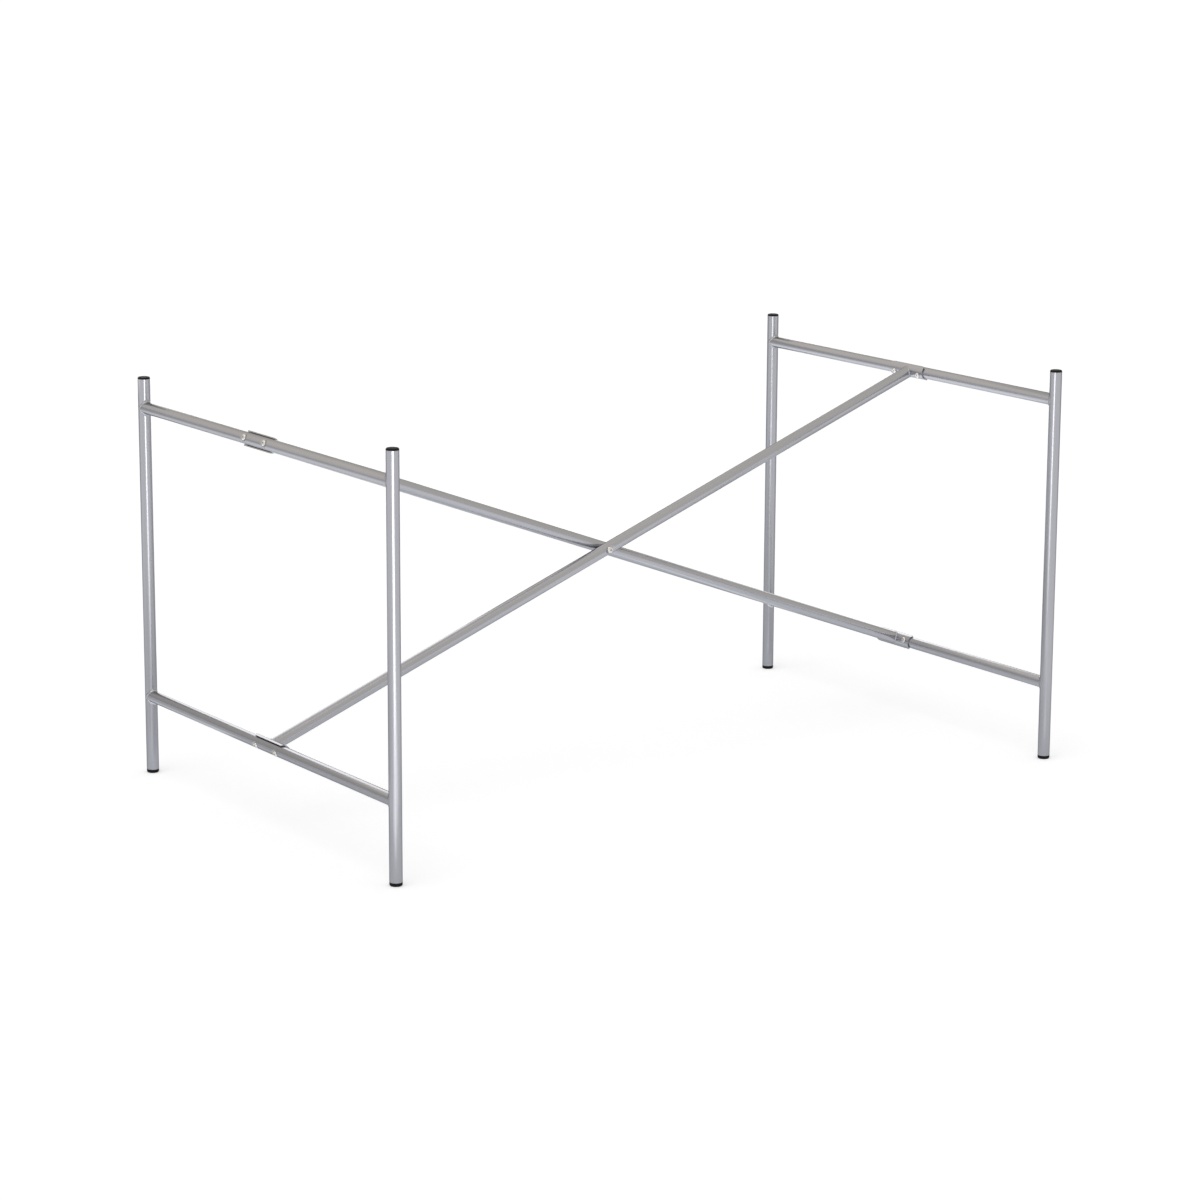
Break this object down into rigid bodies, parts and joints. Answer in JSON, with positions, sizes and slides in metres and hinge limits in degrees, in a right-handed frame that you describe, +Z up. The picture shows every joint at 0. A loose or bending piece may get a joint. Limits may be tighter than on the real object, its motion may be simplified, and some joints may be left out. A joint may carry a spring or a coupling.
{
  "type": "table frame",
  "caption": "Round-tube table frame: welded side frames of legs and rails, joined by crossed braces with screwed half-shell saddles; carries a loose table top.",
  "frame": {"origin": "on the floor under the middle of the frame", "axes": "+X along the table's length to the right, +Y to the rear, +Z up"},
  "size_m": [1.3026, 0.78, 0.66],
  "materials": {
    "tube_paint": "satin silver-grey powder coat",
    "black_plastic": "moulded black plastic",
    "zinc_steel": "bright zinc-plated steel"
  },
  "bodies": {
    "root": {"leg_front_left": "tube_paint", "leg_rear_left": "tube_paint", "leg_front_right": "tube_paint", "leg_rear_right": "tube_paint", "upper_rail_left": "tube_paint", "lower_rail_left": "tube_paint", "upper_rail_right": "tube_paint", "lower_rail_right": "tube_paint", "brace_front": "tube_paint", "brace_rear": "tube_paint", "saddle_upper_left": "tube_paint", "saddle_lower_left": "tube_paint", "saddle_upper_right": "tube_paint", "saddle_lower_right": "tube_paint", "cap_front_left": "black_plastic", "cap_rear_left": "black_plastic", "cap_front_right": "black_plastic", "cap_rear_right": "black_plastic", "foot_front_left": "black_plastic", "foot_rear_left": "black_plastic", "foot_front_right": "black_plastic", "foot_rear_right": "black_plastic", "saddle_screws": "zinc_steel", "saddle_nuts": "zinc_steel", "crossing_bolt": "zinc_steel", "crossing_nut": "zinc_steel"}
  },
  "joints": []
}
